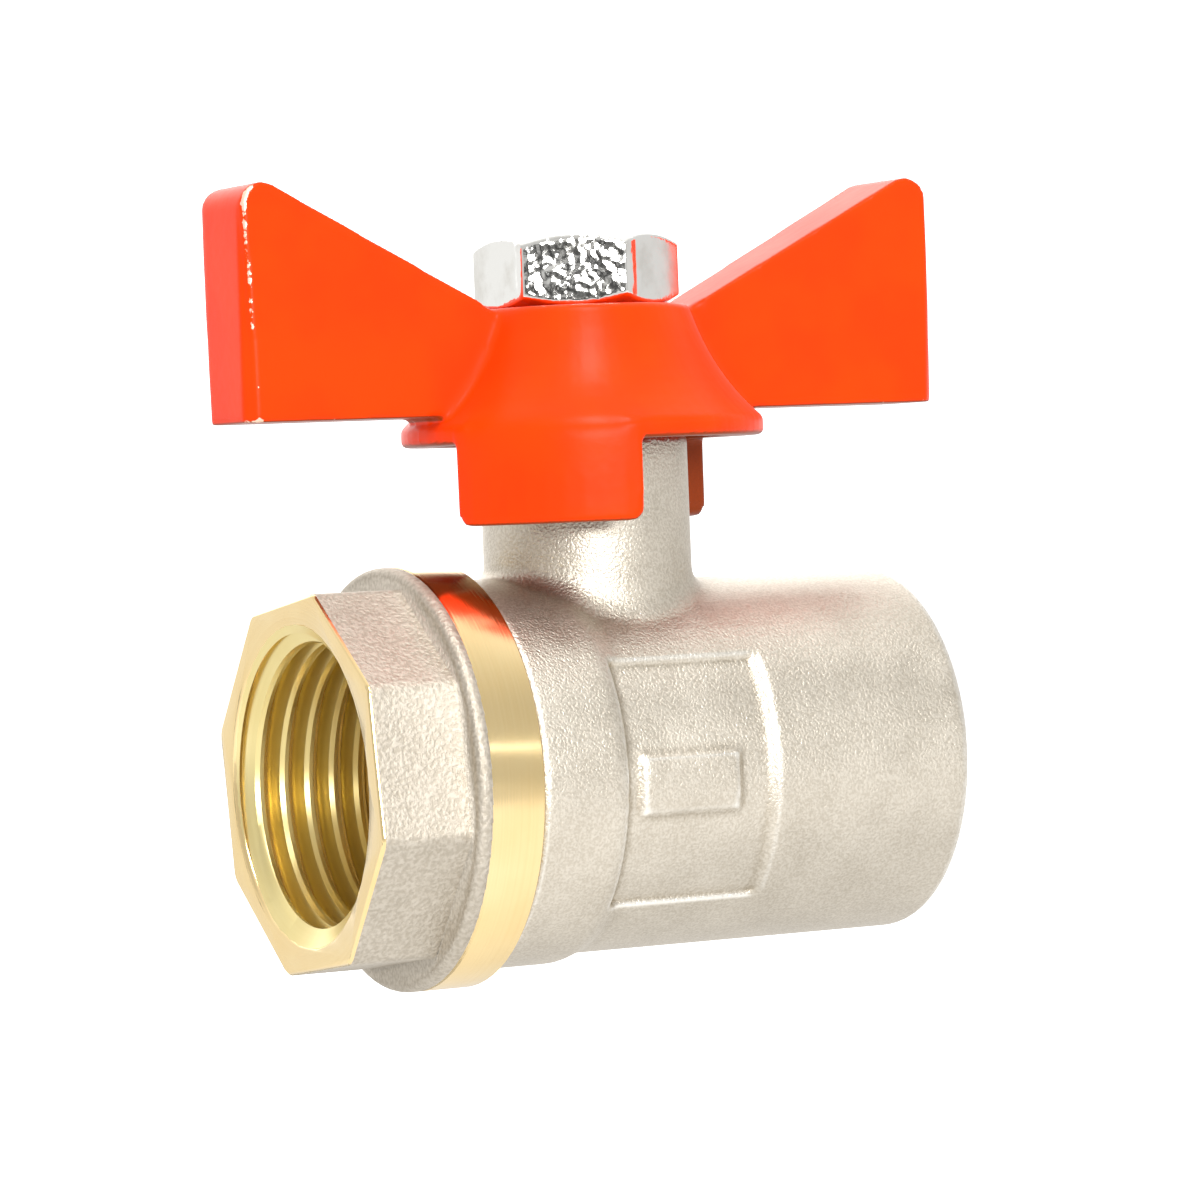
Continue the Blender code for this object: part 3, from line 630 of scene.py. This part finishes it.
# Handle. Die-cast aluminium under orange paint, with soft cast edges and a broad radius where the wings leave
# the bell. The paint is chipped to pale metal along the left wing's front tip edge. Its underside, the inside
# of its skirt and the back tab's inner face carry painted shade.
HANDLE_VOXEL = 0.0002
HANDLE_SOFTENING = 4
HANDLE_EDGE = 0.27
HANDLE_SHARP_ANGLE = 60
ROOT_SOFTENING = 30
ROOT_ALONG = (0.0072, 0.0116, 0.0012)
ROOT_ACROSS = (0, 0.0040, 0.001)
ROOT_UP = (0.0245, 0.0306, 0.0008)
TAB_AZIMUTH = 50
TAB_SOFTENING = 90
TAB_SPREAD = (-24, 24, 3)
TAB_RADIUS = (0.0112, 0.02, 0.0005)
TAB_UP = (0.0205, 0.0248, 0.0008)
CHIPPED_TIP_ALONG = (-0.030, -0.0249, 0.0003)
CHIPPED_TIP_ACROSS = (-0.005, -0.0027, 0.0003)
CHIPPED_FOOT_ALONG = (0.012, 0.03, 0.001)
CHIPPED_FOOT_ACROSS = (-0.005, -0.002, 0.0004)
CHIPPED_FOOT_UP = (0.020, 0.0240, 0.0002)
CHIPPED_ELSEWHERE = 0.3
CHIPPED_TIP = 1.35
CHIPPED_FOOT = 0.8
HOLLOW_RADIUS = (0, 0.0112, 0.0004)
HOLLOW_UP = (0, 0.0225, 0.0006)
FACING_DOWN = (0.55, 2, 0.2)
FACING_IN = (-0.6, 2, 0.15)
BACK_TAB_ACROSS = (0.003, 0.02, 0.001)
PAINT_COLOUR = (1.0, 0.050, 0.0006)
PAINT_DEEP = (0.94, 0.042, 0.0005)
# The underside colour is painted shade.
PAINT_UNDERSIDE_SHADE = (0.30, 0.045, 0.006)
CHIP_COLOUR = (0.92, 0.66, 0.50)
PEEL_SIZE = 0.0009
DUST_SIZE = 0.00022
TONE_SIZE = 0.005
FLAKE_SIZE = 0.0004


def within(values, low, high, ease):
    """1 between low and high, easing to 0 outside."""
    rise = np.clip((values - low) / ease + 1, 0, 1)
    fall = np.clip((high - values) / ease + 1, 0, 1)
    return rise * fall


def smooth_where(item, share, iterations):
    """Blends the surface only where the share, one value per vertex, is above zero."""
    group = item.vertex_groups.new(name="blend")
    for index in np.nonzero(share > 0.02)[0]:
        group.add([int(index)], float(share[index]), "REPLACE")
    apply_modifier(item, "SMOOTH", factor=0.5, iterations=iterations, vertex_group="blend")
    item.vertex_groups.clear()


def measured(item):
    """Each vertex's x, y and z, and its distance from the stem's axis."""
    x, y, z = vertex_places(item).T
    return x, y, z, np.hypot(x, y)


handle = copy_of_node("handle", "butterfly_handle")
cast_skin(handle, HANDLE_VOXEL, HANDLE_SOFTENING)
x, y, z, radius = measured(handle)
root = within(np.abs(x), *ROOT_ALONG) * within(np.abs(y), *ROOT_ACROSS) * within(z, *ROOT_UP)
smooth_where(handle, root, ROOT_SOFTENING)
x, y, z, radius = measured(handle)
turn_from_tab = (np.degrees(np.arctan2(y, x)) - TAB_AZIMUTH + 90) % 180 - 90
tab_top = within(turn_from_tab, *TAB_SPREAD) * within(radius, *TAB_RADIUS) * within(z, *TAB_UP)
smooth_where(handle, tab_top, TAB_SOFTENING)

x, y, z, radius = measured(handle)
tip = within(x, *CHIPPED_TIP_ALONG) * within(y, *CHIPPED_TIP_ACROSS)
foot = within(np.abs(x), *CHIPPED_FOOT_ALONG) * within(y, *CHIPPED_FOOT_ACROSS) * within(z, *CHIPPED_FOOT_UP)
edge_wear = np.maximum(CHIPPED_ELSEWHERE, np.maximum(CHIPPED_TIP * tip, CHIPPED_FOOT * foot))
store_values(handle, "chipping", np.maximum(relief(handle, HANDLE_EDGE), 0) * edge_wear)
# Painted shade: faces turned down, the inside of the skirt and the back tab's inner face get a darker paint
# colour.
normal_x, normal_y, normal_z = vertex_normals(handle).T
inward = -(normal_x * x + normal_y * y) / np.maximum(radius, 0.001)
hollow_shade = within(radius, *HOLLOW_RADIUS) * within(z, *HOLLOW_UP)
back_tab_shade = within(inward, *FACING_IN) * within(z, *HOLLOW_UP) * within(y, *BACK_TAB_ACROSS)
underside_shade = np.maximum(np.maximum(hollow_shade, within(-normal_z, *FACING_DOWN)), back_tab_shade)
store_values(handle, "underside_shade", underside_shade)

sprayed_paint, source, target = new_group("sprayed_paint", {"Chipping": 0.0}, ("Tone", "Bare", "Height"))
tree = sprayed_paint
peel = noise(tree, source["Place"], PEEL_SIZE, 1.0)
dust = noise(tree, source["Place"], DUST_SIZE, 2.0)
flakes = noise(tree, source["Place"], FLAKE_SIZE, 3.0)
bare = eased(tree, swung(tree, source["Chipping"], flakes, 1.0), 0.52, 0.62)
peel_or_bare = maths(tree, "SUBTRACT", peel, maths(tree, "MULTIPLY", bare, 1.2))
set_inputs(
    tree,
    target,
    Tone=noise(tree, source["Place"], TONE_SIZE, 2.0),
    Bare=bare,
    Height=maths(tree, "MULTIPLY_ADD", dust, 0.25, peel_or_bare),
)

paint, tree, shader = new_material("orange_paint_coat", 0.3, 0.0)
coat = placed_group(tree, sprayed_paint, Chipping=stored(tree, "chipping"))
colour = blended(tree, eased(tree, coat["Tone"], 0.3, 0.7), PAINT_COLOUR, PAINT_DEEP)
# Painted shade on the underside and inside the skirt.
colour = blended(tree, stored(tree, "underside_shade"), colour, PAINT_UNDERSIDE_SHADE)
set_inputs(
    tree,
    shader,
    Base_Color=blended(tree, coat["Bare"], colour, CHIP_COLOUR),
    Roughness=maths(tree, "MULTIPLY_ADD", coat["Tone"], 0.12, 0.26),
    Metallic=maths(tree, "MULTIPLY", coat["Bare"], 0.5),
)
shader.inputs["Specular IOR Level"].default_value = 0.1
shader.inputs["Sheen Weight"].default_value = 0.1
shader.inputs["Sheen Roughness"].default_value = 0.35
bumped(tree, shader, coat["Height"], 0.000012)
handle.data.materials.append(paint)
smooth_by_angle(handle, HANDLE_SHARP_ANGLE)
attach(handle, "spindle")
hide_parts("handle")


# Handle nut. A hexagon steel nut, chamfered on both sides and brightly plated, screwed down on the handle.
# The plating is a little wavy, and the front flat is battered, so it breaks up what it mirrors.
NUT_VOXEL = 0.00013
NUT_SOFTENING = 2
NUT_SHARP_ANGLE = 60
HUB_SEAT_Z = 0.03087
FRONT = Vector((-0.465, -0.885, 0.0)).normalized()
FRONT_FLAT = 0.0055
FRONT_FLAT_EASE = 0.0006
PLATING_COLOUR = (0.87, 0.86, 0.82)
PLATING_STAIN = (0.74, 0.72, 0.67)
PLATING_WAVE = 0.0013
PLATING_BLISTER = 0.00045
STAIN_SIZE = 0.0022
nut = copy_of_node("handle_nut", "plated_nut")
nut_low, nut_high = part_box("handle_nut")
stretch = (nut_high.z - HUB_SEAT_Z) / (nut_high.z - nut_low.z)
bpy.ops.object.mode_set(mode="EDIT")
bpy.ops.mesh.select_all(action="SELECT")
bpy.ops.transform.resize(value=(1, 1, stretch), center_override=(0, 0, nut_high.z))
bpy.ops.object.mode_set(mode="OBJECT")
cast_skin(nut, NUT_VOXEL, NUT_SOFTENING)
smooth_by_angle(nut, NUT_SHARP_ANGLE)


def facing(tree, direction, target):
    """How far a direction or a place goes towards the target direction."""
    node = tree.nodes.new("ShaderNodeVectorMath")
    node.operation = "DOT_PRODUCT"
    tree.links.new(direction, node.inputs[0])
    node.inputs[1].default_value = target
    return node.outputs["Value"]


nut_chrome, tree, shader = new_material("bright_plating", 0.07, 1.0)
place = tree.nodes.new("ShaderNodeTexCoord").outputs["Object"]
waves = noise(tree, place, PLATING_WAVE, 1.0)
blisters = noise(tree, place, PLATING_BLISTER, 0.0)
stains = noise(tree, place, STAIN_SIZE, 4.0)
set_inputs(
    tree,
    shader,
    Base_Color=blended(tree, eased(tree, stains, 0.45, 0.75), PLATING_COLOUR, PLATING_STAIN),
    Roughness=maths(tree, "MULTIPLY_ADD", stains, 0.06, 0.05),
)
hammered = eased(tree, facing(tree, place, FRONT), FRONT_FLAT - FRONT_FLAT_EASE, FRONT_FLAT, 0.03, 1.0)
height = maths(tree, "MULTIPLY", hammered, maths(tree, "MULTIPLY_ADD", blisters, 0.35, waves))
bumped(tree, shader, height, 0.00009)
nut.data.materials.append(nut_chrome)
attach(nut, "spindle")
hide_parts("handle_nut")


# Studio. A round white floor that glows, with a painted shadow under the valve, in a white tent that is
# brighter behind and above and darker in front, with a small cluttered dark spot low in front. A broad front
# light, a thin side strip and a high light stand in it.
FLOOR_R = 0.3
FLOOR_NEAR = 0.044
FLOOR_FAR = 0.066
FLOOR_GLOW = 1.1
FLOOR_GLOW_IN_FRONT = 0.58
SHADED_FROM = 0.004
SHADED_TO = 0.021
SHADED_GLOW = 0.72
TENT_IN_FRONT = 0.66
TENT_AT_RIGHT = 0.78
TENT_BEHIND = 2.2
TENT_ABOVE = 1.3
TENT_SEEN = 1.1
BEHIND = Vector((0.26, 0.88, 0.46)).normalized()
DARK_SPOT = Vector((FRONT.x, FRONT.y, -0.045)).normalized()
DARK_SPOT_DEPTH = 0.93
CLUTTER_SIZE = 0.045
floor_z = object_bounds()[0].z
bpy.ops.object.select_all(action="DESELECT")
bpy.ops.mesh.primitive_circle_add(vertices=96, radius=FLOOR_R, fill_type="NGON", location=(0, 0, floor_z))
floor = bpy.context.object
floor.name = "studio_floor"
floor_white, tree, shader = new_material("studio_white", 0.7, 0.0)
place = tree.nodes.new("ShaderNodeTexCoord").outputs["Object"]
floor_tone = noise(tree, place, 0.02, 3.0)
set_inputs(tree, shader, Base_Color=blended(tree, floor_tone, (0.14, 0.14, 0.14), (0.12, 0.12, 0.12)))
shader.inputs["Specular IOR Level"].default_value = 0.0
# The floor glows as painted light: bright near the valve, dimmer far in front, with a painted shadow right
# under the valve, and white to the camera.
in_front = facing(tree, place, FRONT)
glow = eased(tree, in_front, FLOOR_NEAR, FLOOR_FAR, FLOOR_GLOW, FLOOR_GLOW_IN_FRONT)
glow = maths(tree, "MULTIPLY", glow, eased(tree, in_front, SHADED_FROM, SHADED_TO, SHADED_GLOW, 1.0))
seen = tree.nodes.new("ShaderNodeLightPath").outputs["Is Camera Ray"]
set_inputs(tree, shader, Emission_Color=(1, 1, 1, 1), Emission_Strength=maths(tree, "ADD", glow, seen))
floor.data.materials.append(floor_white)


def cone(tree, direction, target, outer, inner, brightness=1.0, outside=0.0):
    """Eases to the brightness inside a cone round the target, whose half angles are in degrees."""
    towards = facing(tree, direction, target)
    return eased(tree, towards, cos(radians(outer)), cos(radians(inner)), outside, brightness)


world = bpy.data.worlds.new("light_tent")
world.use_nodes = True
tree = world.node_tree
direction = tree.nodes.new("ShaderNodeTexCoord").outputs["Generated"]
clutter = eased(tree, noise(tree, direction, CLUTTER_SIZE, 1.0), 0.42, 0.66, 1.0, 0.1)
dark_spot = maths(tree, "MULTIPLY", cone(tree, direction, DARK_SPOT, 15, 10), clutter)
tent = eased(tree, facing(tree, direction, FRONT), -0.35, 0.3, 1.0, TENT_IN_FRONT)
for tone in (
    eased(tree, facing(tree, direction, (1, 0, 0)), 0.5, 0.95, 1.0, TENT_AT_RIGHT),
    cone(tree, direction, BEHIND, 38, 14, TENT_BEHIND, 1.0),
    eased(tree, facing(tree, direction, (0, 0, 1)), 0.55, 0.9, 1.0, TENT_ABOVE),
    maths(tree, "MULTIPLY_ADD", dark_spot, -DARK_SPOT_DEPTH, 1.0),
):
    tent = maths(tree, "MULTIPLY", tent, tone)
seen = tree.nodes.new("ShaderNodeLightPath").outputs["Is Camera Ray"]
tent = maths(tree, "MAXIMUM", tent, maths(tree, "MULTIPLY", seen, TENT_SEEN))
grey = set_inputs(tree, tree.nodes.new("ShaderNodeCombineColor"), Red=tent, Green=tent, Blue=tent)
set_inputs(tree, tree.nodes["Background"], Color=grey.outputs[0], Strength=1.0)
bpy.context.scene.world = world
bpy.context.scene.view_settings.view_transform = "Standard"


def soft_light(name, azimuth, elevation, distance, aim_z, size, power):
    """A flat panel light at an azimuth and elevation in degrees, aimed at the stem's axis."""
    turn, rise = radians(azimuth), radians(elevation)
    flat = distance * cos(rise)
    place = Vector((flat * cos(turn), flat * sin(turn), distance * sin(rise)))
    data = bpy.data.lights.new(name, "AREA")
    data.shape = "RECTANGLE"
    data.size, data.size_y = size
    data.energy = power
    light = bpy.data.objects.new(name, data)
    bpy.context.collection.objects.link(light)
    light.location = place
    light.rotation_euler = (Vector((0, 0, aim_z)) - place).to_track_quat("-Z", "Y").to_euler()


soft_light("front_light", -105, 11, 0.64, 0.01, (0.32, 0.11), 2.2)
soft_light("side_strip", -52, 15, 0.62, 0.0, (0.66, 0.014), 0.13)
soft_light("high_light", -104, 56, 0.6, 0.02, (0.09, 0.30), 1.9)


# Camera. A long lens stands before the inlet side of the valve, a little above the pipe axis, and leans very
# slightly to one side.
CAMERA_PLACE = (-0.151746, -0.288169, 0.018254)
CAMERA_TURN = (88.751, 2.319, -27.951)
CAMERA_LENS = 145.2
camera_data = bpy.data.cameras.new("camera")
camera_data.lens = CAMERA_LENS
camera_data.sensor_width = 36
camera = bpy.data.objects.new("camera", camera_data)
bpy.context.collection.objects.link(camera)
camera.location = CAMERA_PLACE
camera.rotation_euler = [radians(angle) for angle in CAMERA_TURN]
bpy.context.scene.camera = camera
